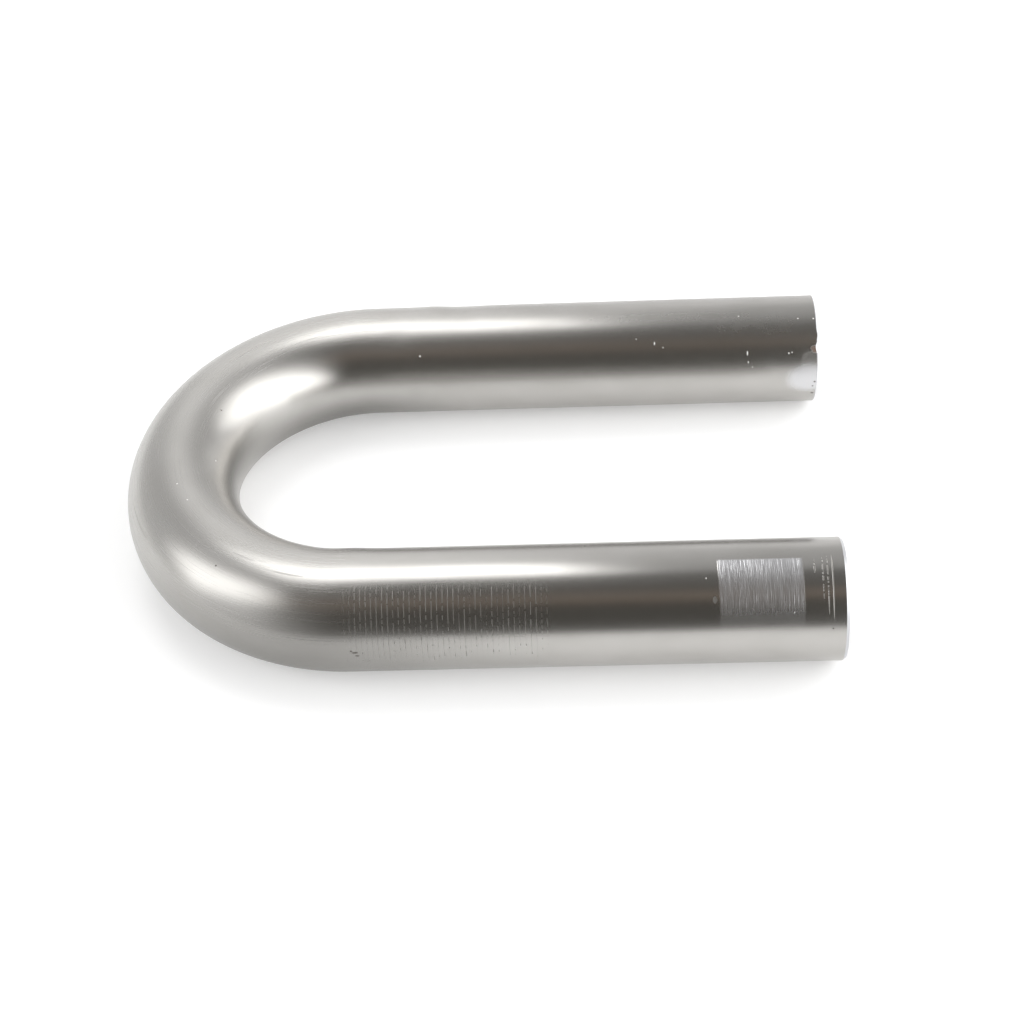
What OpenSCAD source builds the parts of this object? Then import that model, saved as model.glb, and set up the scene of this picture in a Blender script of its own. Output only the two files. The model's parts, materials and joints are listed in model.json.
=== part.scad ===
// Return bend: one length of round steel tube, mandrel bent through half a turn into a U.
// It lies flat with both legs along +X. The origin is on the floor, at the middle of the footprint.

/* [Tube] */
// Outside diameter of the tube
tube_od = 38.1; // [20:0.1:60]
// Wall thickness of the straight tube
wall = 1.65; // [1:0.05:3]

/* [Bend] */
// Radius of the centre line where the bend meets the legs, half the spacing of the legs
bend_radius = 63.5; // [45:0.5:150]
// Share of its width, in the plane of the bend, that the section loses at the crown
crown_flattening = 0.035; // [0:0.005:0.1]
// Thickness that the outer wall loses to the inner wall at the crown as the tube stretches
wall_shift = 0.25; // [0:0.05:0.5]

/* [Legs] */
// Straight length of the legs as bent, and of the far leg on the +Y side
leg_length = 157; // [60:1:400]
// Length sawn off the near leg on the -Y side
near_trim = 5; // [0:0.5:40]

/* [Tube ends] */
// Length along the tube of the deburring bevel round the near leg's mouth
near_bevel_length = 1; // [0.2:0.1:3]
// Depth of that bevel into the wall
near_bevel_depth = 0.7; // [0.1:0.1:0.8]
// Broken edge round the sawn mouth of the far leg
far_edge_break = 0.3; // [0.1:0.1:0.8]
// Radius of the knock that nicks the rim of the far leg
nick_radius = 3; // [1:0.5:6]
// Depth of the nick along the tube
nick_depth = 0.5; // [0.1:0.1:0.9]
// Angle of the nick round the rim, upwards from the side that faces the near leg
nick_angle = 38; // [0:1:90]

/* [Hidden] */
$fn = 96;

outer_r = tube_od / 2;
bore_r = outer_r - wall;
far_leg = leg_length;
near_leg = leg_length - near_trim;

// How far the crown reaches from the plane where the bend meets the legs
crown_reach = (bend_radius + outer_r) * (1 - crown_flattening);
overall_length = crown_reach + leg_length;
tangent_x = crown_reach - overall_length / 2;

// Length by which a cut passes the mouth that it opens
cut_margin = 2;

// Sides of the two legs along Y
near_side = -1;
far_side = 1;

// Half a ring of round section on the -X side, squeezed along X.
// The section stays round where it meets the legs and narrows little by little to the crown.
module half_ring(section_r) {
    scale([1 - crown_flattening, 1, 1])
        rotate([0, 0, 90])
            rotate_extrude(angle = 180)
                translate([bend_radius, 0])
                    circle(r = section_r);
}

// Outside of one leg, with its bevelled mouth
module leg_outside(side, length, bevel_length, bevel_depth) {
    translate([0, side * bend_radius, 0])
        rotate([0, 90, 0])
            rotate_extrude()
                polygon([
                    [0, 0],
                    [outer_r, 0],
                    [outer_r, length - bevel_length],
                    [outer_r - bevel_depth, length],
                    [0, length]
                ]);
}

// Bore of one leg, from the bore's own bend to past the mouth
module leg_bore(side, length) {
    translate([-wall_shift, side * bend_radius, 0])
        rotate([0, 90, 0])
            cylinder(r = bore_r, h = wall_shift + length + cut_margin);
}

// Outside of the whole tube
module tube_outside() {
    half_ring(outer_r);
    leg_outside(near_side, near_leg, near_bevel_length, near_bevel_depth);
    leg_outside(far_side, far_leg, far_edge_break, far_edge_break);
}

// Inside of the whole tube, set outwards at the crown where the wall is stretched thin
module tube_inside() {
    translate([-wall_shift, 0, 0])
        half_ring(bore_r);
    leg_bore(near_side, near_leg);
    leg_bore(far_side, far_leg);
}

// Round-bottomed knock in the rim of the far leg
module rim_nick() {
    translate([far_leg + nick_radius - nick_depth, far_side * bend_radius, 0])
        rotate([-nick_angle, 0, 0])
            translate([0, -(outer_r - wall / 2), 0])
                sphere(r = nick_radius);
}

module return_bend() {
    color("#98948f")
        translate([tangent_x, 0, outer_r])
            difference() {
                tube_outside();
                tube_inside();
                rim_nick();
            }
}

return_bend();
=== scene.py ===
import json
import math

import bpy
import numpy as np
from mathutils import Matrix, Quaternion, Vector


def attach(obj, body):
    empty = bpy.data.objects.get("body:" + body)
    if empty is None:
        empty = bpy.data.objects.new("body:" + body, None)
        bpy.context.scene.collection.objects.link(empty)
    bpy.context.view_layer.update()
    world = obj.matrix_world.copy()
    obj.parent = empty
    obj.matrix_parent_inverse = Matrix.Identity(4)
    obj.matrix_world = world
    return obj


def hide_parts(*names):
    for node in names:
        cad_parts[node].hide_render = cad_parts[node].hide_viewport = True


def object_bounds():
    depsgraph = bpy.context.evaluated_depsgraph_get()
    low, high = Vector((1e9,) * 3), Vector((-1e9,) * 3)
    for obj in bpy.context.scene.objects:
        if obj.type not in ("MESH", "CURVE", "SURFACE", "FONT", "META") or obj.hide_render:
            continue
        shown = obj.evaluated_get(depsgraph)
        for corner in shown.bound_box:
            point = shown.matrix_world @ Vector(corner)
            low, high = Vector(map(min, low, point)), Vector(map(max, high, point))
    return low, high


bl_info = {
    "name": "Return bend",
    "version": (1, 0, 0),
    "blender": (4, 5, 0),
    "location": "3D View > Sidebar > Return bend",
    "description": "Makes a bare steel return bend with its tool marks, on a white table",
    "category": "Add Mesh",
}

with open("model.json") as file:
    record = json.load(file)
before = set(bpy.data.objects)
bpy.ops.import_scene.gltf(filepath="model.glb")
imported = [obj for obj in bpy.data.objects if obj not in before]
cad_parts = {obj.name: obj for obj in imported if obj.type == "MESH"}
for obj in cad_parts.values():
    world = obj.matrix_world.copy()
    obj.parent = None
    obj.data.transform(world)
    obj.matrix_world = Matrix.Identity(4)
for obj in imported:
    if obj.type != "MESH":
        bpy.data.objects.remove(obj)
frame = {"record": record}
cad_low, cad_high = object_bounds()

MM = 0.001
NODE = "return_bend"
TUBE_MAP = "tube_run"
SOFTBOX_DISTANCE = 1.2
SHARP_ANGLE = math.radians(25)
SMOOTH = {"interpolation_type": "SMOOTHSTEP"}
OUTSIDE, SAWN, BORE = range(3)

# Dents and bulges of the outside: leg, distance from its mouth, angle up from its -Y side, then the length,
# girth and height of the rise, in millimetres and degrees
DENTS = (
    ("near", 152, 132, 7, 9, 0.3),
    ("far", 148.5, 62, 5, 6, -0.22),
    ("far", 137, 130, 5, 10, 0.2),
    ("far", 125, 130, 6, 10, -0.2),
)

# Marks on the outside: distance from the leg's mouth, angle up from its -Y side, then half the length and
# half the girth of the mark, in millimetres and degrees. Past the near leg the distances go on along the
# bend.
LONG_SCRATCHES = (
    (168.8, 76, 4.5, 0.3), (184.7, 81, 4, 0.3), (224.5, 34, 8, 0.35), (301.6, 88.5, 10, 0.35))
DARK_SPECKS = {
    "near": (
        (5.4, 18, 0.3, 0.25), (149.2, 3, 0.9, 0.35), (148.6, -1, 0.6, 0.3),
        (150.3, 5, 0.4, 0.3), (190.8, 61.9, 0.3, 0.3), (272.5, 121.3, 0.3, 0.35)),
    "far": ((0.9, -2, 0.35, 0.35), (1.5, -8, 0.3, 0.3), (1.4, -20, 0.5, 0.35)),
}
# Small dings, each painted near-white and non-metal: real dings with a painted glint on each
DINGS_AND_PAINTED_GLINTS = {
    "near": (
        (228.1, 88.9, 0.25, 0.25), (218.9, 91.5, 0.25, 0.25), (244.0, 134.4, 0.22, 0.22),
        (43.2, 67, 0.15, 0.2), (17.4, 34, 0.18, 0.18)),
    "far": (
        (24.5, 33.6, 0.2, 0.75), (24.2, 24, 0.12, 0.35), (22.7, 18.5, 0.15, 0.15),
        (10.1, 32.3, 0.2, 0.3), (9.0, 33.1, 0.17, 0.22), (27.0, 76, 0.25, 0.25),
        (6.5, 70.7, 0.25, 0.2), (1.2, 70, 0.25, 0.25), (57.1, 46.9, 0.2, 0.55),
        (54.1, 42.2, 0.15, 0.15), (63.5, 52.2, 0.15, 0.15), (140.2, 40.8, 0.25, 0.25)),
}

# Sizes of the tube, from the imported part's mounts
mounts = {mount["name"]: mount for mount in frame["record"]["mounts"]}
TUBE_RADIUS = mounts["near_spigot"]["dims"]["r_mm"] * MM
BORE_RADIUS = mounts["near_bore"]["dims"]["r_mm"] * MM
BEND_RADIUS = abs(mounts["near_spigot"]["pos_m"][1])
BEND_START = mounts["near_spigot"]["pos_m"][0] - mounts["near_spigot"]["dims"]["length_mm"] * MM
NEAR_LEG = mounts["near_bore"]["pos_m"][0] - BEND_START
FAR_LEG = mounts["far_bore"]["pos_m"][0] - BEND_START
NEAR_BEVEL = NEAR_LEG - mounts["near_spigot"]["dims"]["length_mm"] * MM
FAR_EDGE = FAR_LEG - mounts["far_spigot"]["dims"]["length_mm"] * MM
WALL_SHIFT = mounts["near_bore"]["dims"]["length_mm"] * MM - NEAR_LEG
CROWN_FLATTENING = 1 - (BEND_START - cad_low.x) / (BEND_RADIUS + TUBE_RADIUS)


def hex_linear(text):
    """Linear red, green, blue and alpha of an sRGB hex colour."""
    srgb = np.array([int(text[i:i + 2], 16) for i in (1, 3, 5)]) / 255
    linear = np.where(srgb <= 0.04045, srgb / 12.92, ((srgb + 0.055) / 1.055) ** 2.4)
    return (*linear.tolist(), 1.0)


class ReturnBendTube(bpy.types.PropertyGroup):
    """Sizes of the bent tube."""

    tube_radius: bpy.props.FloatProperty(
        name="Tube radius", description="Outside radius of the tube",
        default=TUBE_RADIUS, min=0.005, unit="LENGTH")
    bore_radius: bpy.props.FloatProperty(
        name="Bore radius", description="Inside radius of the tube",
        default=BORE_RADIUS, min=0.004, unit="LENGTH")
    bend_radius: bpy.props.FloatProperty(
        name="Bend radius", description="Centre-line radius where the bend meets the legs",
        default=BEND_RADIUS, min=0.02, unit="LENGTH")
    bend_start: bpy.props.FloatProperty(
        name="Bend start", description="Place along X of the plane where the bend meets the legs",
        default=BEND_START, unit="LENGTH")
    near_leg: bpy.props.FloatProperty(
        name="Near leg", description="Straight length of the leg on the -Y side",
        default=NEAR_LEG, min=0.02, unit="LENGTH")
    far_leg: bpy.props.FloatProperty(
        name="Far leg", description="Straight length of the leg on the +Y side",
        default=FAR_LEG, min=0.02, unit="LENGTH")
    near_bevel: bpy.props.FloatProperty(
        name="Near bevel", description="Length along the tube of the bevel round the near mouth",
        default=NEAR_BEVEL, min=0.0001, unit="LENGTH")
    near_bevel_depth: bpy.props.FloatProperty(
        name="Near bevel depth", description="Depth of that bevel into the wall",
        default=0.7 * MM, min=0.0001, unit="LENGTH")
    far_edge: bpy.props.FloatProperty(
        name="Far edge", description="Broken edge round the sawn far mouth",
        default=FAR_EDGE, min=0.00005, unit="LENGTH")
    wall_shift: bpy.props.FloatProperty(
        name="Wall shift", description="Thickness that the outer wall loses to the inner wall at the crown",
        default=WALL_SHIFT, min=0.0, unit="LENGTH")
    crown_flattening: bpy.props.FloatProperty(
        name="Crown flattening", description="Share of its width that the section loses at the crown",
        default=CROWN_FLATTENING, min=0.0, max=0.1, subtype="FACTOR")
    nick_depth: bpy.props.FloatProperty(
        name="Nick depth", description="Depth along the tube of the nick in the far rim",
        default=0.5 * MM, min=0.0, unit="LENGTH")
    nick_radius: bpy.props.FloatProperty(
        name="Nick radius", description="Radius of the knock that made the nick",
        default=3 * MM, min=0.001, unit="LENGTH")
    nick_angle: bpy.props.FloatProperty(
        name="Nick angle",
        description="Place of the nick round the rim, up from the side that faces the near leg",
        default=math.radians(38), subtype="ANGLE", unit="ROTATION")
    burr: bpy.props.FloatProperty(
        name="Burr", description="How far the burr above the nick stands out of the far rim",
        default=0.3 * MM, min=0.0, unit="LENGTH")
    dent: bpy.props.FloatProperty(
        name="Dent", description="Depth of the dent below the nick",
        default=0.3 * MM, min=0.0, unit="LENGTH")
    near_skew: bpy.props.FloatProperty(
        name="Near skew", description="How far the near saw cut leans at the rim",
        default=0.8 * MM, min=0.0, unit="LENGTH")
    far_skew: bpy.props.FloatProperty(
        name="Far skew", description="How far the far saw cut leans at the rim",
        default=0.55 * MM, min=0.0, unit="LENGTH")
    sawn_long: bpy.props.FloatProperty(
        name="Sawn long", description="How far the far rim is sawn past the plain solid's",
        default=0.85 * MM, min=0.0, unit="LENGTH")
    skew_angle: bpy.props.FloatProperty(
        name="Skew angle", description="Angle up from each leg's -Y side where its saw cut is shortest",
        default=math.radians(42), subtype="ANGLE", unit="ROTATION")


class ReturnBendFinish(bpy.types.PropertyGroup):
    """Colours of the steel and the spacing of the ring marks."""

    steel: bpy.props.FloatVectorProperty(
        name="Steel", description="Clean satin steel of the outside",
        default=hex_linear("#bbb9b6"), size=4, subtype="COLOR", min=0.0, max=1.0)
    dull_steel: bpy.props.FloatVectorProperty(
        name="Dull steel", description="Clouded patches of the outside",
        default=hex_linear("#a9a7a2"), size=4, subtype="COLOR", min=0.0, max=1.0)
    scuffed_steel: bpy.props.FloatVectorProperty(
        name="Scuffed steel", description="Rubbed patches under the clamp and by the dent",
        default=hex_linear("#d8d8da"), size=4, subtype="COLOR", min=0.0, max=1.0)
    sawn_steel: bpy.props.FloatVectorProperty(
        name="Sawn steel", description="Cut and bevelled rims",
        default=hex_linear("#bfc0c3"), size=4, subtype="COLOR", min=0.0, max=1.0)
    bore_steel: bpy.props.FloatVectorProperty(
        name="Bore steel", description="Dull drawn steel inside the tube",
        default=hex_linear("#8f8c87"), size=4, subtype="COLOR", min=0.0, max=1.0)
    rust: bpy.props.FloatVectorProperty(
        name="Rust", description="Rust by the nick",
        default=hex_linear("#6a4e3b"), size=4, subtype="COLOR", min=0.0, max=1.0)
    grime: bpy.props.FloatVectorProperty(
        name="Grime", description="Dark specks",
        default=hex_linear("#4a403a"), size=4, subtype="COLOR", min=0.0, max=1.0)
    # Near-white colour laid on the dings: a painted glint on each
    glint: bpy.props.FloatVectorProperty(
        name="Glint", description="Small fresh dings",
        default=hex_linear("#f2f0ec"), size=4, subtype="COLOR", min=0.0, max=1.0)
    ring_pitch: bpy.props.FloatProperty(
        name="Ring pitch", description="Spacing of the ring marks beside the bend",
        default=1.65 * MM, min=0.0005, unit="LENGTH")


class ReturnBendStage(bpy.types.PropertyGroup):
    """Place, aim and lens of the camera."""

    azimuth: bpy.props.FloatProperty(
        name="Azimuth", description="Turn of the camera to the right of the view along +Y",
        default=math.radians(3.02), subtype="ANGLE", unit="ROTATION")
    elevation: bpy.props.FloatProperty(
        name="Elevation", description="Height of the camera above the horizon",
        default=math.radians(42.5), subtype="ANGLE", unit="ROTATION")
    roll: bpy.props.FloatProperty(
        name="Roll", description="Turn of the camera about its own line of sight",
        default=math.radians(-3.55), subtype="ANGLE", unit="ROTATION")
    distance: bpy.props.FloatProperty(
        name="Distance", description="Distance of the camera from the point that it looks at",
        default=547.7 * MM, min=0.1, unit="LENGTH")
    look_at: bpy.props.FloatVectorProperty(
        name="Look at", description="Point in the middle of the picture",
        default=(11.13 * MM, -20.39 * MM, TUBE_RADIUS), size=3, subtype="XYZ", unit="LENGTH")
    lens: bpy.props.FloatProperty(
        name="Lens", description="Focal length in millimetres on a 36 mm sensor",
        default=58.59, min=10.0, unit="CAMERA")


def add_node(tree, kind, inputs=None, **settings):
    """Add one node, set its settings, and link or set each named or numbered input.

    A node given as an input stands for its first output."""
    made = tree.nodes.new(kind)
    for name, value in settings.items():
        setattr(made, name, value)
    for key, value in (inputs or {}).items():
        if isinstance(value, bpy.types.Node):
            value = value.outputs[0]
        if isinstance(value, bpy.types.NodeSocket):
            tree.links.new(value, made.inputs[key])
        else:
            made.inputs[key].default_value = value
    return made


def new_material(name):
    """An empty node material and its tree."""
    material = bpy.data.materials.new(name)
    material.use_nodes = True
    material.node_tree.nodes.clear()
    return material, material.node_tree


def chained(tree, operation, *values):
    """The values joined one after another by the same operation."""
    joined = values[0]
    for value in values[1:]:
        joined = add_node(tree, "ShaderNodeMath", {0: joined, 1: value}, operation=operation)
    return joined


def added_up(tree, start, terms):
    """The start plus each term's value times its amount."""
    total = start
    for value, amount in terms:
        total = add_node(tree, "ShaderNodeMath", {0: value, 1: amount, 2: total}, operation="MULTIPLY_ADD")
    return total


def layered_colour(tree, colour, layers):
    """The colour with each layer's own colour laid over it by its mask."""
    for mask, cover in layers:
        mixed = add_node(tree, "ShaderNodeMix", {0: mask, 6: colour, 7: cover}, data_type="RGBA")
        colour = mixed.outputs[2]
    return colour


def stretched_noise(tree, place, along, around, detail=2.0):
    """Noise whose cells have the given lengths in millimetres along the tube and round it."""
    scaled = add_node(tree, "ShaderNodeMapping", {"Vector": place, "Scale": (1 / along, 1 / around, 1)})
    return add_node(tree, "ShaderNodeTexNoise", {"Vector": scaled, "Scale": 1.0, "Detail": detail})


def between(tree, value, low, high, fade):
    """1 between two limits of a value, with faded ends."""
    ends = []
    for limit, outwards in ((low, -1), (high, 1)):
        ends.append(add_node(tree, "ShaderNodeMapRange", {
            "Value": value,
            "From Min": limit + outwards * fade / 2,
            "From Max": limit - outwards * fade / 2,
        }, **SMOOTH))
    return chained(tree, "MULTIPLY", *ends)


def rectangle_mask(tree, place, low, high, fade):
    """1 inside a rectangle between two corners, in millimetres along and round the tube. Its edges fade."""
    parts = add_node(tree, "ShaderNodeSeparateXYZ", {0: place})
    along = between(tree, parts.outputs["X"], low[0], high[0], fade)
    around = between(tree, parts.outputs["Y"], low[1], high[1], fade)
    return chained(tree, "MULTIPLY", along, around)


def spots_mask(tree, place, girth, spots):
    """1 on each spot, given by its distance from the mouth, its angle, and half its length and girth."""
    masks = []
    for along, degrees, half_along, half_around in spots:
        middle = (along, girth(degrees), 0)
        off = add_node(tree, "ShaderNodeVectorMath", {0: place, 1: middle}, operation="SUBTRACT")
        share = add_node(tree, "ShaderNodeVectorMath", {
            0: off, 1: (half_along, half_around, 1)}, operation="DIVIDE")
        length = add_node(tree, "ShaderNodeVectorMath", {0: share}, operation="LENGTH")
        masks.append(add_node(tree, "ShaderNodeMapRange", {
            "Value": length.outputs["Value"], "From Min": 1.35, "From Max": 0.65}, **SMOOTH))
    return chained(tree, "MAXIMUM", *masks)


def outside_run(tube):
    """Length of the wall's outline along the outside, from the far rim to the near rim."""
    far_break = math.hypot(tube.far_edge, tube.far_edge)
    near_bevel = math.hypot(tube.near_bevel, tube.near_bevel_depth)
    legs = tube.far_leg - tube.far_edge + tube.near_leg - tube.near_bevel
    return far_break + legs + math.pi * tube.bend_radius + near_bevel


def leg_places(tree, tube):
    """Places on the outside in millimetres, as seen from the near mouth and from the far mouth.

    The first part is the distance from the mouth, and the second is the girth upwards from the side that
    faces -Y on that leg. On the bend the near places go on, with the girth upwards from the outside of the
    bend."""
    uv = add_node(tree, "ShaderNodeUVMap", uv_map=TUBE_MAP)
    quarter = tube.tube_radius * math.pi / 2 / MM
    near = add_node(tree, "ShaderNodeMapping", {
        "Vector": uv, "Location": (outside_run(tube) / MM, -quarter, 0), "Scale": (-1 / MM, 1 / MM, 1)})
    far = add_node(tree, "ShaderNodeMapping", {
        "Vector": uv, "Location": (0, 3 * quarter, 0), "Scale": (1 / MM, -1 / MM, 1)})
    return near, far


def die_rings(tree, near, girth, pitch):
    """Rings that the bending die scribed round the near leg, broken up and of uneven depth.

    Each ring is broken in its own places. Low on the tube only hairlines and a few short pieces are left."""
    row_step = 3.7
    parts = add_node(tree, "ShaderNodeSeparateXYZ", {0: near})
    turns = chained(tree, "DIVIDE", parts.outputs["X"], pitch / MM)
    number = add_node(tree, "ShaderNodeMath", {0: turns}, operation="ROUND")
    off = chained(tree, "SUBTRACT", turns, number)
    aside = add_node(tree, "ShaderNodeMath", {0: off}, operation="ABSOLUTE")
    line = add_node(tree, "ShaderNodeMapRange", {
        "Value": aside, "From Min": 0.11, "From Max": 0.04}, **SMOOTH)
    chance = add_node(tree, "ShaderNodeTexWhiteNoise", {"W": number}, noise_dimensions="1D")
    depth = add_node(tree, "ShaderNodeMapRange", {"Value": chance, "To Min": 0.25, "To Max": 1.0})
    row = chained(tree, "MULTIPLY", number, row_step)
    cell = add_node(tree, "ShaderNodeCombineXYZ", {"X": row, "Y": parts.outputs["Y"]})
    broken = add_node(tree, "ShaderNodeTexNoise", {"Vector": cell, "Scale": 0.55, "Detail": 3.0})
    low_down = add_node(tree, "ShaderNodeMapRange", {
        "Value": parts.outputs["Y"], "From Min": girth(26), "From Max": girth(16)}, **SMOOTH)
    level = added_up(tree, broken, ((low_down, -0.14),))
    pieces = add_node(tree, "ShaderNodeMapRange", {
        "Value": level, "From Min": 0.40, "From Max": 0.50}, **SMOOTH)
    hairlines = chained(tree, "MULTIPLY", low_down, 0.2)
    kept = chained(tree, "MAXIMUM", pieces, hairlines)
    along = between(tree, parts.outputs["X"], low=91, high=151, fade=6)
    around = between(tree, parts.outputs["Y"], low=girth(-8), high=girth(63), fade=4)
    return chained(tree, "MULTIPLY", line, depth, kept, along, around)


def clamp_rub_and_painted_sheen(tree, near, girth):
    """Patch rubbed by the clamp block: its sharp-edged area, which fades downwards, and its streaks. Its
    lighter colour, strongest at the top, is real rubbing with a painted highlight of the light from above.
    """
    block = rectangle_mask(tree, near, low=(14.2, girth(5)), high=(39.4, girth(86)), fade=0.9)
    parts = add_node(tree, "ShaderNodeSeparateXYZ", {0: near})
    # Fading downwards: the patch's lighter colour kept to its top is partly a painted highlight of the light
    # from above
    upper = add_node(tree, "ShaderNodeMapRange", {
        "Value": parts.outputs["Y"], "From Min": girth(16), "From Max": girth(50)}, **SMOOTH)
    streaks = stretched_noise(tree, near, along=0.4, around=12)
    return chained(tree, "MULTIPLY", block, upper), streaks


def bend_scratches(tree, near, girth):
    """Fine lengthwise scratches on the outer and upper side of the bend, and a few long ones."""
    parts = add_node(tree, "ShaderNodeSeparateXYZ", {0: near})
    bent = between(tree, parts.outputs["X"], low=147, high=357, fade=40)
    outer = between(tree, parts.outputs["Y"], low=girth(10), high=girth(120), fade=6)
    lines = stretched_noise(tree, near, along=24, around=0.45, detail=1.0)
    cut = add_node(tree, "ShaderNodeMapRange", {"Value": lines, "From Min": 0.56, "From Max": 0.7}, **SMOOTH)
    return chained(tree, "MULTIPLY", bent, outer, cut), spots_mask(tree, near, girth, LONG_SCRATCHES)


def mouth_rings(tree, near, girth):
    """Thin rings by the near mouth, some of them broken into dots, and a smear beside the clamp's patch."""
    dots = stretched_noise(tree, near, along=3, around=0.8)
    dotted = add_node(tree, "ShaderNodeMapRange", {
        "Value": dots, "From Min": 0.4, "From Max": 0.55}, **SMOOTH)
    broken = spots_mask(tree, near, girth, (
        (6.6, 60, 0.2, girth(26)), (8.1, 66, 0.2, girth(20)), (10.6, 76, 0.2, girth(7))))
    whole = spots_mask(tree, near, girth, ((5.1, 58, 0.18, girth(28)), (38.7, 77, 0.15, girth(9))))
    smear = chained(tree, "MULTIPLY", spots_mask(tree, near, girth, ((40.8, 47, 0.6, 1.0),)), 0.9)
    return chained(tree, "MAXIMUM", chained(tree, "MULTIPLY", broken, dotted), whole, smear)


def far_scuffs(tree, far, girth):
    """Hazy scuff by the far mouth, the streak beyond it, and the rubbed skin of the dent below the nick."""
    haze = stretched_noise(tree, far, along=5, around=4)
    hazy = add_node(tree, "ShaderNodeMapRange", {"Value": haze, "From Min": 0.25, "From Max": 0.8}, **SMOOTH)
    patch = rectangle_mask(tree, far, low=(6, girth(58)), high=(38, girth(74)), fade=10)
    streak = spots_mask(tree, far, girth, ((52, 78, 26, girth(5)),))
    dent = spots_mask(tree, far, girth, ((3, 3, 7, girth(17)),))
    return chained(tree, "MULTIPLY", hazy, patch), chained(tree, "MULTIPLY", hazy, streak), dent


def rust_spot(tree, far, girth):
    """Ragged spot of rust by the nick."""
    ragged = stretched_noise(tree, far, along=1.8, around=1.8)
    kept = add_node(tree, "ShaderNodeMapRange", {
        "Value": ragged, "From Min": 0.25, "From Max": 0.6}, **SMOOTH)
    return chained(tree, "MULTIPLY", spots_mask(tree, far, girth, ((1.0, 36, 1.3, 1.2),)), kept)


def marks_mask(tree, places, girth, marks):
    """1 on the marks of both legs."""
    masks = [spots_mask(tree, places[leg], girth, spots) for leg, spots in marks.items()]
    return chained(tree, "MAXIMUM", *masks)


def satin_steel(tube, finish):
    """Cold drawn steel tube, bent bare.

    The drawing die leaves fine lengthwise lines, so that light smears round the tube and stays sharper along
    it. The bend and the far leg were pulled round the die, so that their skin is a little rougher, and the
    bend is scratched lengthwise. Ring marks, scuffs and dings are rougher: they look pale where the steel is
    dark, and dull where it is bright. The dings are also painted near-white and non-metal: painted glints.
    The clamp's rubbed patch is lighter towards its top and fades downwards: real wear, with a painted
    highlight of the light from above."""
    material, tree = new_material("satin_drawn_steel")
    near, far = leg_places(tree, tube)

    def girth(degrees):
        """Length in millimetres, round the outside, of an angle about the centre line."""
        return tube.tube_radius / MM * math.radians(degrees)

    grain = stretched_noise(tree, near, along=0.6, around=0.45, detail=1.0)
    drawn = stretched_noise(tree, near, along=30, around=0.5)
    cloud = stretched_noise(tree, near, along=16, around=9)
    parts = add_node(tree, "ShaderNodeSeparateXYZ", {0: near})
    pulled = add_node(tree, "ShaderNodeMapRange", {
        "Value": parts.outputs["X"], "From Min": 125, "From Max": 170}, **SMOOTH)
    scratches, long_scratches = bend_scratches(tree, near, girth)
    rings = die_rings(tree, near, girth, finish.ring_pitch)
    thin_rings = mouth_rings(tree, near, girth)
    clamp, streaks = clamp_rub_and_painted_sheen(tree, near, girth)
    rubbed = add_node(tree, "ShaderNodeMapRange", {
        "Value": streaks, "From Min": 0.35, "From Max": 0.65}, **SMOOTH)
    clamp_streaks = chained(tree, "MULTIPLY", clamp, rubbed)
    far_scuff, far_streak, dent_scuff = far_scuffs(tree, far, girth)
    rusted = rust_spot(tree, far, girth)
    places = {"near": near, "far": far}
    dark = chained(tree, "MULTIPLY", marks_mask(tree, places, girth, DARK_SPECKS), 0.75)
    # Dings: real marks, painted near-white and non-metal as glints
    light = marks_mask(tree, places, girth, DINGS_AND_PAINTED_GLINTS)

    colour = layered_colour(tree, finish.steel, (
        (chained(tree, "MULTIPLY", cloud, 0.6), finish.dull_steel),
        # Rubbed patch: real wear, lighter towards its top as a painted highlight
        (clamp, finish.scuffed_steel),
        (chained(tree, "MULTIPLY", dent_scuff, 0.9), finish.scuffed_steel),
        (rusted, finish.rust),
        (dark, finish.grime),
        # Painted glints on the dings
        (light, finish.glint)))
    roughness = added_up(tree, 0.165, (
        (cloud, 0.04), (grain, 0.03), (pulled, 0.045), (scratches, 0.06), (long_scratches, 0.12),
        (rings, 0.45), (clamp, 0.09), (clamp_streaks, 0.06), (thin_rings, 0.3), (far_scuff, 0.08),
        (far_streak, 0.12), (dent_scuff, 0.06), (rusted, 0.35), (dark, 0.4), (light, 0.4)))
    metallic = added_up(tree, 1.0, ((rusted, -0.8), (dark, -0.8), (light, -0.9)))
    height = added_up(tree, 0.0, (
        (grain, 0.006), (drawn, 0.006), (scratches, -0.003),
        (chained(tree, "MULTIPLY", clamp, streaks), 0.085), (thin_rings, -0.03)))
    bump = add_node(tree, "ShaderNodeBump", {"Height": height, "Distance": MM})
    tangent = add_node(tree, "ShaderNodeTangent", direction_type="UV_MAP", uv_map=TUBE_MAP)
    shader = add_node(tree, "ShaderNodeBsdfPrincipled", {
        "Base Color": colour,
        "Metallic": metallic,
        "Roughness": roughness,
        "Anisotropic": 0.88,
        "Anisotropic Rotation": 0.25,
        "Normal": bump,
        "Tangent": tangent,
    })
    add_node(tree, "ShaderNodeOutputMaterial", {"Surface": shader})
    return material


def sawn_steel(finish):
    """Steel cut by a saw and deburred: bright, with fine straight lines across the rim."""
    material, tree = new_material("sawn_steel")
    place = add_node(tree, "ShaderNodeTexCoord")
    line_pitch = 0.3
    line_length = 12
    scaled = add_node(tree, "ShaderNodeMapping", {
        "Vector": place.outputs["Object"],
        "Scale": (1 / (line_pitch * MM), 1 / (line_length * MM), 1 / (line_pitch * MM)),
    })
    lines = add_node(tree, "ShaderNodeTexNoise", {"Vector": scaled, "Scale": 1.0, "Detail": 2.0})
    roughness = added_up(tree, 0.24, ((lines, 0.16),))
    height = chained(tree, "MULTIPLY", lines, 0.012)
    bump = add_node(tree, "ShaderNodeBump", {"Height": height, "Distance": MM})
    shader = add_node(tree, "ShaderNodeBsdfPrincipled", {
        "Base Color": finish.sawn_steel, "Metallic": 1.0, "Roughness": roughness, "Normal": bump})
    add_node(tree, "ShaderNodeOutputMaterial", {"Surface": shader})
    return material


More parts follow.
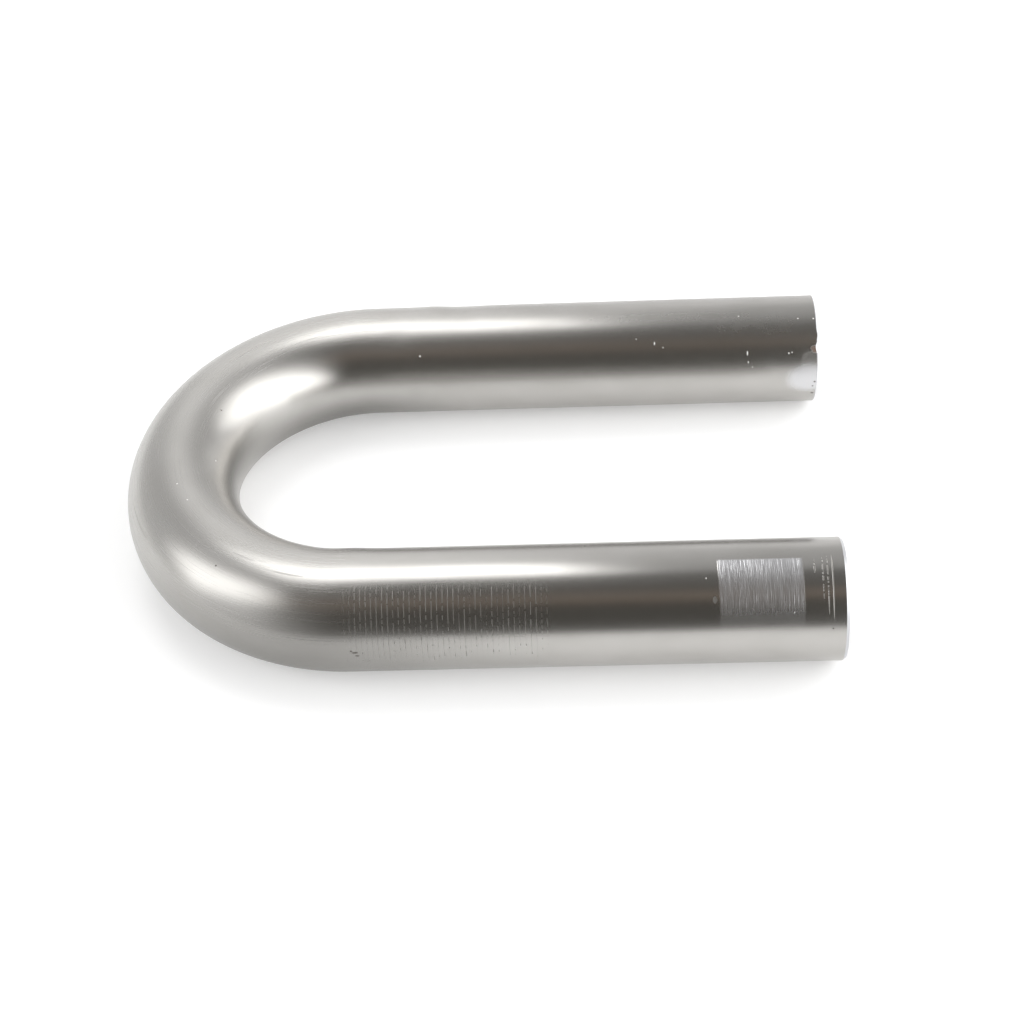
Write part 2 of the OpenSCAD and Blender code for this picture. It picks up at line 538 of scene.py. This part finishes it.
def drawn_bore(tube, finish):
    """Inside of drawn tube: dull grey under a thin skin of oxide, which catches the light by the mouths.

    It has long lines from the plug that it was drawn over, and faint clouds."""
    material, tree = new_material("drawn_bore_steel")
    near = leg_places(tree, tube)[0]
    lines = stretched_noise(tree, near, along=60, around=0.9, detail=3.0)
    cloud = stretched_noise(tree, near, along=18, around=10, detail=3.0)
    grimy = chained(tree, "MULTIPLY", cloud, 0.35)
    colour = layered_colour(tree, finish.bore_steel, ((grimy, finish.grime),))
    roughness = added_up(tree, 0.3, ((cloud, 0.15), (lines, 0.08)))
    height = chained(tree, "MULTIPLY", lines, 0.012)
    bump = add_node(tree, "ShaderNodeBump", {"Height": height, "Distance": MM})
    shader = add_node(tree, "ShaderNodeBsdfPrincipled", {
        "Base Color": colour, "Metallic": 0.45, "Roughness": roughness, "Normal": bump})
    add_node(tree, "ShaderNodeOutputMaterial", {"Surface": shader})
    return material


def wall_stations(tube):
    """Stations round the outline of the tube's wall, one row each: reach, turn, radius and run.

    The outline goes along the outside from the far mouth round the bend to the near mouth, over the near rim,
    back through the bore and over the far rim. Between two corners the stations are evenly spaced, and by
    the far mouth, which is nicked and dented, they are closest on the outside. Reach is the distance along a
    leg from the plane where the bend starts, turn is the angle about the bend's own axis, radius is the
    distance from the centre line, and run is the distance along the outline."""
    far_turn = math.pi / 2
    near_turn = 3 * math.pi / 2
    dented_length = 14 * MM
    # Each corner, with the number of stations up to the next corner and the finish of the wall there
    table = np.array([
        (tube.far_leg, far_turn, tube.tube_radius - tube.far_edge, 1, SAWN),
        (tube.far_leg - tube.far_edge, far_turn, tube.tube_radius, 40, OUTSIDE),
        (tube.far_leg - dented_length, far_turn, tube.tube_radius, 72, OUTSIDE),
        (0.0, far_turn, tube.tube_radius, 120, OUTSIDE),
        (0.0, near_turn, tube.tube_radius, 75, OUTSIDE),
        (tube.near_leg - tube.near_bevel, near_turn, tube.tube_radius, 2, SAWN),
        (tube.near_leg, near_turn, tube.tube_radius - tube.near_bevel_depth, 3, SAWN),
        (tube.near_leg, near_turn, tube.bore_radius, 16, BORE),
        (-tube.wall_shift, near_turn, tube.bore_radius, 60, BORE),
        (-tube.wall_shift, far_turn, tube.bore_radius, 18, BORE),
        (tube.far_leg, far_turn, tube.bore_radius, 3, SAWN),
    ])
    corners = table[:, :3]
    counts, finishes = table[:, 3:].astype(int).T
    following = np.roll(corners, -1, axis=0)
    step = following - corners
    lengths = np.hypot(np.abs(step[:, 0]) + tube.bend_radius * np.abs(step[:, 1]), step[:, 2])
    starts = np.concatenate(([0.0], np.cumsum(lengths)))
    rows = []
    for number, count in enumerate(counts):
        share = np.arange(count)[:, None] / count
        stretch = corners[number] + share * step[number]
        run = starts[number] + share * lengths[number]
        rows.append(np.hstack((stretch, run)))
    return np.vstack(rows), starts[-1], np.repeat(finishes, counts)


def dented_radius(tube, run, angle):
    """How far the outside stands off its true radius, by its place along the outline and its angle.

    With the distances along and around from its middle, each soft dent or bulge is its height times
    exp(-(along / length)^2 - (around / girth)^2)."""
    degrees = np.degrees(angle)
    rise = np.zeros(np.broadcast_shapes(run.shape, angle.shape))
    for leg, away, turned, length, girth, height in DENTS:
        along = (outside_run(tube) - run if leg == "near" else run) - away * MM
        around = np.radians((degrees if leg == "near" else 180 - degrees) - turned) * tube.tube_radius
        rise += height * MM * np.exp(-(along / (length * MM)) ** 2 - (around / (girth * MM)) ** 2)
    return rise - far_dent(tube, run, 180 - degrees)


def far_dent(tube, away, turned):
    """Depth of the dent below the far rim's nick, by the distance from the mouth and the angle in degrees.

    It is a flap bent in evenly towards the rim. Its upper edge is a crease, part of a rounded square about a
    point on the rim: the fourth root of the sum of the fourth powers of the two distances. Downwards the
    depth dies away as exp(-(angle / lower spread)^2)."""
    middle = 12
    upper_spread = 22
    lower_spread = 26
    reach = 6 * MM
    crease = 1.1
    crease_width = 0.25
    lift = np.clip(turned - middle, 0, None) / upper_spread
    outwards = ((np.abs(away) / reach) ** 4 + lift ** 4) ** 0.25
    edge = np.clip((crease - outwards) / crease_width, 0, 1)
    flap = np.clip(1 - away / reach, 0, 1)
    below = np.clip(middle - turned, 0, None) / lower_spread
    return tube.dent * edge ** 2 * (3 - 2 * edge) * flap * np.exp(-below ** 2)


def rim_shift(tube, reach, turn, angle):
    """How far each rim is moved along the tube.

    The saw cuts lean: with angle a up from a leg's -Y side, the rim moves by its skew times
    -cos(a - skew angle). The far rim, which is sawn a little long, has a round-bottomed nick too, and a burr
    above it. Both shifts die away evenly along the tube."""
    lean_reach = 18 * MM
    nick_reach = 4 * MM
    burr_angle = tube.nick_angle + math.radians(13)
    burr_width = 1.3 * MM
    is_far = turn < math.pi
    turned = np.where(is_far, math.pi - angle, angle)
    girth = (turned - tube.nick_angle) * tube.tube_radius
    round_bottom = np.sqrt(np.clip(tube.nick_radius ** 2 - girth ** 2, 0, None))
    nick = np.clip(round_bottom - tube.nick_radius + tube.nick_depth, 0, None)
    burr = tube.burr * np.exp(-((turned - burr_angle) * tube.tube_radius / burr_width) ** 2)
    to_mouth = np.where(is_far, tube.far_leg, tube.near_leg) - reach
    close = np.where(is_far, np.clip(1 - to_mouth / nick_reach, 0, 1), 0)
    lean = np.where(is_far, tube.far_skew, tube.near_skew) * np.cos(turned - tube.skew_angle)
    longer = np.where(is_far, tube.sawn_long, 0)
    return np.clip(1 - to_mouth / lean_reach, 0, 1) * (longer - lean) + close * (burr - nick)


def bent_tube_mesh(tube):
    """The whole wall of the tube as one closed surface.

    Round each station goes a circle of the wall's radius. With turn t and angle a round the tube, measured
    from the outside of the bend and over the top, a point lies at (bend radius + radius cos a) from the
    bend's axis and at radius sin a above the centre line. Along X the bend is squeezed by the crown's
    flattening. The points are closest together where the far rim is nicked: an even angle e becomes
    e + pinch sin(e - gap angle), turned so that the first angle stays."""
    stations, total_run, finishes = wall_stations(tube)
    around = 192
    reach, turn, radius, run = (column[:, None] for column in stations.T)
    even = (np.arange(around + 1) / around * 2 * math.pi - math.pi / 2)[None, :]
    gap_angle = math.radians(-30)
    pinch = 0.5
    all_angles = even + pinch * (np.sin(even - gap_angle) - np.sin(even[:, :1] - gap_angle))
    angle = all_angles[:, :-1]
    outside = (finishes == OUTSIDE)[:, None]
    radius = radius + np.where(outside, dented_radius(tube, run, angle), 0)
    reach = reach + rim_shift(tube, reach, turn, angle)
    from_axis = tube.bend_radius + radius * np.cos(angle)
    squeeze = 1 - tube.crown_flattening
    x = tube.bend_start + reach + from_axis * np.cos(turn) * squeeze
    y = from_axis * np.sin(turn)
    z = tube.tube_radius + radius * np.sin(angle)
    points = np.stack((x, y, z), axis=-1).reshape(-1, 3)

    count = len(stations)
    first, side = np.meshgrid(np.arange(count), np.arange(around), indexing="ij")
    second = (first + 1) % count
    other = (side + 1) % around
    corner_rows = np.stack((first, second, second, first), axis=-1)
    corner_columns = np.stack((side, side, other, other), axis=-1)
    quads = (corner_rows * around + corner_columns).reshape(-1, 4)

    run_edges = np.append(run[:, 0], total_run)
    girth_edges = (all_angles[0] + math.pi / 2) * tube.tube_radius
    along = run_edges[np.stack((first, first + 1, first + 1, first), axis=-1)]
    girth = girth_edges[np.stack((side, side, side + 1, side + 1), axis=-1)]
    tube_map = np.stack((along, girth), axis=-1).reshape(-1, 2)
    return points, quads, tube_map, np.repeat(finishes, around)


def grid_quads(rows, columns):
    """Quads of an open grid whose points are stored row by row."""
    row, column = np.meshgrid(np.arange(rows - 1), np.arange(columns - 1), indexing="ij")
    start = (row * columns + column).ravel()
    return np.stack((start, start + 1, start + columns + 1, start + columns), axis=-1)


def mesh_object(name, points, quads, tube_map=None):
    """A smooth-shaded mesh object at the origin, with sharp edges kept."""
    mesh = bpy.data.meshes.new(name)
    mesh.from_pydata(points.tolist(), [], quads.tolist())
    if tube_map is not None:
        layer = mesh.uv_layers.new(name=TUBE_MAP)
        layer.data.foreach_set("uv", tube_map.astype(np.float32).ravel())
    mesh.polygons.foreach_set("use_smooth", np.ones(len(mesh.polygons), dtype=bool))
    mesh.set_sharp_from_angle(angle=SHARP_ANGLE)
    mesh.update()
    made = bpy.data.objects.new(name, mesh)
    bpy.context.scene.collection.objects.link(made)
    return made


class RETURNBEND_OT_tube(bpy.types.Operator):
    """Make the bent tube in place of the plain solid"""

    bl_idname = "return_bend.tube"
    bl_label = "Bent tube"

    def execute(self, context):
        tube, finish = context.scene.return_bend_tube, context.scene.return_bend_finish
        points, quads, tube_map, finishes = bent_tube_mesh(tube)
        piece = mesh_object("bent_tube", points, quads, tube_map)
        for material in (satin_steel(tube, finish), sawn_steel(finish), drawn_bore(tube, finish)):
            piece.data.materials.append(material)
        piece.data.polygons.foreach_set("material_index", finishes.astype(np.int32))
        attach(piece, "root")
        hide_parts(NODE)
        return {"FINISHED"}


def add_camera(stage):
    """Camera on a line back from the look-at point, turned by its roll."""
    azimuth, elevation = stage.azimuth, stage.elevation
    back = Vector((math.sin(azimuth) * math.cos(elevation), -math.cos(azimuth) * math.cos(elevation),
                   math.sin(elevation)))
    level = Vector((0, 0, 1)).cross(back).normalized()
    upright = back.cross(level)
    right = math.cos(stage.roll) * level + math.sin(stage.roll) * upright
    up = back.cross(right)
    camera = bpy.data.objects.new("camera", bpy.data.cameras.new("camera"))
    camera.data.lens = stage.lens
    camera.data.sensor_width = 36.0
    camera.data.clip_start = 0.01
    turned = Matrix((right, up, back)).transposed().to_4x4()
    camera.matrix_world = Matrix.Translation(Vector(stage.look_at) + back * stage.distance) @ turned
    bpy.context.scene.collection.objects.link(camera)
    bpy.context.scene.camera = camera


def add_softbox(name, azimuth, elevation, tilt, width, height, radiance, soft, distance=SOFTBOX_DISTANCE):
    """Area light that faces the middle of the part and fades towards its edges, like cloth over a lamp.

    Azimuth 0 is behind the part, and 90 degrees to its right. Width and height are those of the half-bright
    outline, and soft is the share of the whole light over which each edge fades. The light's power is four
    times its radiance times its area."""
    light = bpy.data.lights.new(name, "AREA")
    light.shape = "RECTANGLE"
    light.size = width / (1 - soft)
    light.size_y = height / (1 - soft)
    light.energy = 4 * radiance * light.size * light.size_y
    light.use_nodes = True
    tree = light.node_tree
    tree.nodes.clear()
    place = add_node(tree, "ShaderNodeNewGeometry")
    parts = add_node(tree, "ShaderNodeSeparateXYZ", {0: place.outputs["Parametric"]})
    across, upwards = (between(tree, parts.outputs[axis], soft / 2, 1 - soft / 2, soft)
                       for axis in ("X", "Y"))
    glow = add_node(tree, "ShaderNodeEmission", {"Strength": chained(tree, "MULTIPLY", across, upwards)})
    add_node(tree, "ShaderNodeOutputLight", {"Surface": glow})
    box = bpy.data.objects.new(name, light)
    a, e = math.radians(azimuth), math.radians(elevation)
    out = Vector((math.sin(a) * math.cos(e), math.cos(a) * math.cos(e), math.sin(e)))
    box.location = out * distance
    box.rotation_mode = "QUATERNION"
    box.rotation_quaternion = out.to_track_quat("Z", "Y") @ Quaternion((0, 0, 1), math.radians(tilt))
    box.visible_camera = False
    bpy.context.scene.collection.objects.link(box)


def table_paper():
    """Matt white paper. Where the eye or a reflection meets it, a little of its own light makes it white."""
    material, tree = new_material("matt_white_paper")
    matt = add_node(tree, "ShaderNodeBsdfDiffuse", {"Color": hex_linear("#ededed")})
    path = add_node(tree, "ShaderNodeLightPath")
    rays = ("Is Camera Ray", "Is Glossy Ray", "Is Transmission Ray")
    shown = chained(tree, "ADD", *(path.outputs[ray] for ray in rays))
    strength = chained(tree, "MULTIPLY", chained(tree, "MINIMUM", shown, 1.0), 0.24)
    glow = add_node(tree, "ShaderNodeEmission", {"Strength": strength})
    both = add_node(tree, "ShaderNodeAddShader", {0: matt, 1: glow})
    add_node(tree, "ShaderNodeOutputMaterial", {"Surface": both})
    return material


def add_floor():
    """Flat square of paper, as a grid of one quad."""
    half = 3.0
    corners = np.array([(-half, -half, 0), (half, -half, 0), (half, half, 0), (-half, half, 0)])
    floor = mesh_object("table", corners, np.array([[0, 1, 2, 3]]))
    floor.data.materials.append(table_paper())


def add_card(name, material, forwards, upwards, left_edge, right_edge):
    """Sheet that is seen only in the steel: a profile of (forwards, up) points carried along X."""
    across = np.linspace(left_edge, right_edge, 9)
    points = np.stack(np.broadcast_arrays(across[None, :], -forwards[:, None], upwards[:, None]), axis=-1)
    card = mesh_object(name, points.reshape(-1, 3), grid_quads(len(forwards), len(across)))
    card.data.materials.append(material)
    card.visible_camera = False
    card.visible_diffuse = False
    card.visible_shadow = False


def glowing_ramp(tree, factor, stops):
    """Emission whose colour goes through the stops, each a place from 0 to 1 and a hex colour."""
    ramp = add_node(tree, "ShaderNodeValToRGB", {"Fac": factor})
    elements = ramp.color_ramp.elements
    elements.remove(elements[1])
    for number, (place, colour) in enumerate(stops):
        element = elements[0] if number == 0 else elements.new(place)
        element.position = place
        element.color = hex_linear(colour)
    return add_node(tree, "ShaderNodeEmission", {"Color": ramp.outputs[0], "Strength": 1.0})


def card_material(name):
    """An empty node material for a card, its tree, and the parts of the place on the card."""
    material, tree = new_material(name)
    place = add_node(tree, "ShaderNodeTexCoord")
    parts = add_node(tree, "ShaderNodeSeparateXYZ", {0: place.outputs["Object"]})
    return material, tree, parts


def end_card(tree, cover, glow):
    """End a card's material: it glows where its cover is 1, and is clear where that is 0."""
    clear = add_node(tree, "ShaderNodeBsdfTransparent")
    both = add_node(tree, "ShaderNodeMixShader", {0: cover, 1: clear, 2: glow})
    add_node(tree, "ShaderNodeOutputMaterial", {"Surface": both})


def painted_dark_reflection(arc_radius):
    """Dim glowing sheet, a painted dark reflection in the steel, a little browner above the eye and paler
    overhead, by its height as a share of the arc's.

    It thins out towards its two sides."""
    material, tree, parts = card_material("painted_dark_reflection")
    share = chained(tree, "DIVIDE", parts.outputs["Z"], arc_radius)
    # Painted dark reflection of the surroundings in front and overhead
    glow = glowing_ramp(tree, share, (
        (0.0, "#5a5854"), (0.5, "#575551"), (0.71, "#585551"), (0.79, "#94877b"), (0.86, "#94887e"),
        (0.93, "#64625f"), (1.0, "#757472")))
    left_fade = add_node(tree, "ShaderNodeMapRange", {
        "Value": parts.outputs["X"], "From Min": -2.6, "From Max": -0.2}, **SMOOTH)
    right_fade = add_node(tree, "ShaderNodeMapRange", {
        "Value": parts.outputs["X"], "From Min": 1.5, "From Max": 0.28}, **SMOOTH)
    end_card(tree, chained(tree, "MULTIPLY", left_fade, right_fade), glow)
    return material


def add_painted_dark_reflection():
    """Dim glowing sheet in front of the part and over it: a painted dark reflection in the steel.

    Its profile goes along the table away from the part, then up and over in an arc: with height angle h, a
    point lies at the arc's radius times (cos h forwards, sin h up)."""
    arc_radius = 2.0
    front_edge = 0.25
    top_angle = 101
    lift = 1 * MM
    height = np.radians(np.linspace(0, top_angle, 40))
    flat = np.linspace(front_edge, arc_radius, 8, endpoint=False)
    forwards = np.concatenate((flat, arc_radius * np.cos(height)))
    upwards = np.concatenate((np.zeros(len(flat)), arc_radius * np.sin(height))) + lift
    add_card("painted_dark_reflection", painted_dark_reflection(arc_radius), forwards, upwards, left_edge=-2.65, right_edge=1.55)


def shaded_paper(tube):
    """Glowing white paper with a painted shadow of the tube: it darkens close to the tube, by its distance
    from the line that the tube rests along.

    It covers the table in front of the bend and a part of it inside the bend, and thins out at its edges."""
    material, tree, parts = card_material("shaded_paper")
    shade_reach = 0.16
    beyond = chained(tree, "SUBTRACT", parts.outputs["X"], tube.bend_start)
    turned = chained(tree, "MINIMUM", beyond, 0.0)
    flat = add_node(tree, "ShaderNodeCombineXYZ", {"X": turned, "Y": parts.outputs["Y"]})
    length = add_node(tree, "ShaderNodeVectorMath", {0: flat}, operation="LENGTH")
    away = chained(tree, "SUBTRACT", length.outputs["Value"], tube.bend_radius)
    aside = add_node(tree, "ShaderNodeMath", {0: away}, operation="ABSOLUTE")
    # Painted shadow: darkest against the tube, white further off
    glow = glowing_ramp(tree, chained(tree, "DIVIDE", aside, shade_reach), (
        (0.0, "#a0a0a0"), (0.10, "#b0b0af"), (0.3, "#dadad9"), (0.7, "#f4f4f3"), (1.0, "#ffffff")))
    leftwards, frontwards, inside, inner_left, backwards = (
        add_node(tree, "ShaderNodeMapRange", {"Value": value, "From Min": start, "From Max": end}, **SMOOTH)
        for value, start, end in (
            (parts.outputs["X"], 0.04, -0.07),
            (parts.outputs["Y"], 0.0, -0.12),
            (away, 0.0, -0.012),
            (parts.outputs["X"], 0.0, -0.055),
            (parts.outputs["Y"], 0.015, 0.05)))
    front_cover = chained(tree, "MULTIPLY", leftwards, frontwards)
    inner_cover = chained(tree, "MULTIPLY", inside, inner_left, backwards)
    end_card(tree, chained(tree, "MAXIMUM", front_cover, inner_cover), glow)
    return material


def add_shaded_paper(tube):
    """The table in front of the bend and inside it, as the steel shows it, with the tube's shadow painted on.
    """
    lift = 0.5 * MM
    forwards = np.linspace(-0.07, 0.25, 5)
    upwards = np.full_like(forwards, lift)
    add_card("shaded_paper", shaded_paper(tube), forwards, upwards, left_edge=-0.7, right_edge=0.08)


def glowing_highlight_card():
    """Glowing white card, seen only in the steel, where it paints a highlight. It thins out at its top and
    at its two sides.
    """
    material, tree, parts = card_material("glowing_highlight_card")
    across = between(tree, parts.outputs["X"], low=0.04, high=0.27, fade=0.08)
    below_top = add_node(tree, "ShaderNodeMapRange", {
        "Value": parts.outputs["Z"], "From Min": 0.19, "From Max": 0.11}, **SMOOTH)
    # The card glows of itself: a painted highlight, not a lamp
    glow = add_node(tree, "ShaderNodeEmission", {"Strength": 1.08})
    end_card(tree, chained(tree, "MULTIPLY", across, below_top), glow)
    return material


def add_glowing_highlight_card():
    """Small upright glowing card behind the legs, which paints a highlight along their upper edges."""
    behind = 0.25
    card_height = 0.2
    upwards = np.linspace(0.0, card_height, 3)
    forwards = np.full_like(upwards, -behind)
    add_card("glowing_highlight_card", glowing_highlight_card(), forwards, upwards, left_edge=0.0, right_edge=0.32)


def add_world():
    """White surroundings, darker overhead."""
    world = bpy.data.worlds.new("white_room")
    world.use_nodes = True
    world.node_tree.nodes.clear()
    tree = world.node_tree
    place = add_node(tree, "ShaderNodeTexCoord")
    parts = add_node(tree, "ShaderNodeSeparateXYZ", {0: place.outputs["Generated"]})
    strength = add_node(tree, "ShaderNodeMapRange", {
        "Value": parts.outputs["Z"], "From Min": 0.1, "From Max": 0.95, "To Min": 0.81, "To Max": 0.56})
    light = add_node(tree, "ShaderNodeBackground", {"Color": (1, 1, 1, 1), "Strength": strength})
    add_node(tree, "ShaderNodeOutputWorld", {"Surface": light})
    bpy.context.scene.world = world


class RETURNBEND_OT_stage(bpy.types.Operator):
    """Set the camera, the white table and the light"""

    bl_idname = "return_bend.stage"
    bl_label = "Stage"

    def execute(self, context):
        add_camera(context.scene.return_bend_stage)
        add_floor()
        # Glowing sheet with a painted dark reflection, seen only in the steel
        add_painted_dark_reflection()
        # Glowing sheet with a painted shadow of the tube, seen only in the steel
        add_shaded_paper(context.scene.return_bend_tube)
        # Glowing card with a painted highlight, seen only in the steel
        add_glowing_highlight_card()
        add_world()
        add_softbox("left_softbox", azimuth=-106.5, elevation=33.5, tilt=-38, width=0.60, height=0.90,
                    radiance=1.6, soft=0.36)
        add_softbox("right_softbox", azimuth=104.5, elevation=25, tilt=25, width=2.6, height=1.05,
                    radiance=1.95, soft=0.36)
        add_softbox("top_softbox", azimuth=-24.6, elevation=65, tilt=-16, width=0.71, height=0.79,
                    radiance=2.5, soft=0.18, distance=1.8)
        add_softbox("back_softbox", azimuth=-16, elevation=30.5, tilt=0, width=0.58, height=1.0,
                    radiance=0.48, soft=0.5)
        context.scene.view_settings.view_transform = "Standard"
        return {"FINISHED"}


class RETURNBEND_PT_panel(bpy.types.Panel):
    """Sizes, colours and steps of the return bend"""

    bl_idname = "RETURNBEND_PT_panel"
    bl_label = "Return bend"
    bl_space_type = "VIEW_3D"
    bl_region_type = "UI"
    bl_category = "Return bend"

    def draw(self, context):
        for group in (context.scene.return_bend_tube, context.scene.return_bend_finish,
                      context.scene.return_bend_stage):
            box = self.layout.box()
            for name in group.__annotations__:
                box.prop(group, name)
        for operator in (RETURNBEND_OT_tube, RETURNBEND_OT_stage):
            self.layout.operator(operator.bl_idname)


CLASSES = (
    ReturnBendTube,
    ReturnBendFinish,
    ReturnBendStage,
    RETURNBEND_OT_tube,
    RETURNBEND_OT_stage,
    RETURNBEND_PT_panel,
)


def register():
    for item in CLASSES:
        bpy.utils.register_class(item)
    bpy.types.Scene.return_bend_tube = bpy.props.PointerProperty(type=ReturnBendTube)
    bpy.types.Scene.return_bend_finish = bpy.props.PointerProperty(type=ReturnBendFinish)
    bpy.types.Scene.return_bend_stage = bpy.props.PointerProperty(type=ReturnBendStage)


def unregister():
    del bpy.types.Scene.return_bend_stage
    del bpy.types.Scene.return_bend_finish
    del bpy.types.Scene.return_bend_tube
    for item in reversed(CLASSES):
        bpy.utils.unregister_class(item)


def main():
    """Make the part and the stage."""
    register()
    bpy.ops.return_bend.tube()
    bpy.ops.return_bend.stage()


if __name__ == "__main__":
    main()
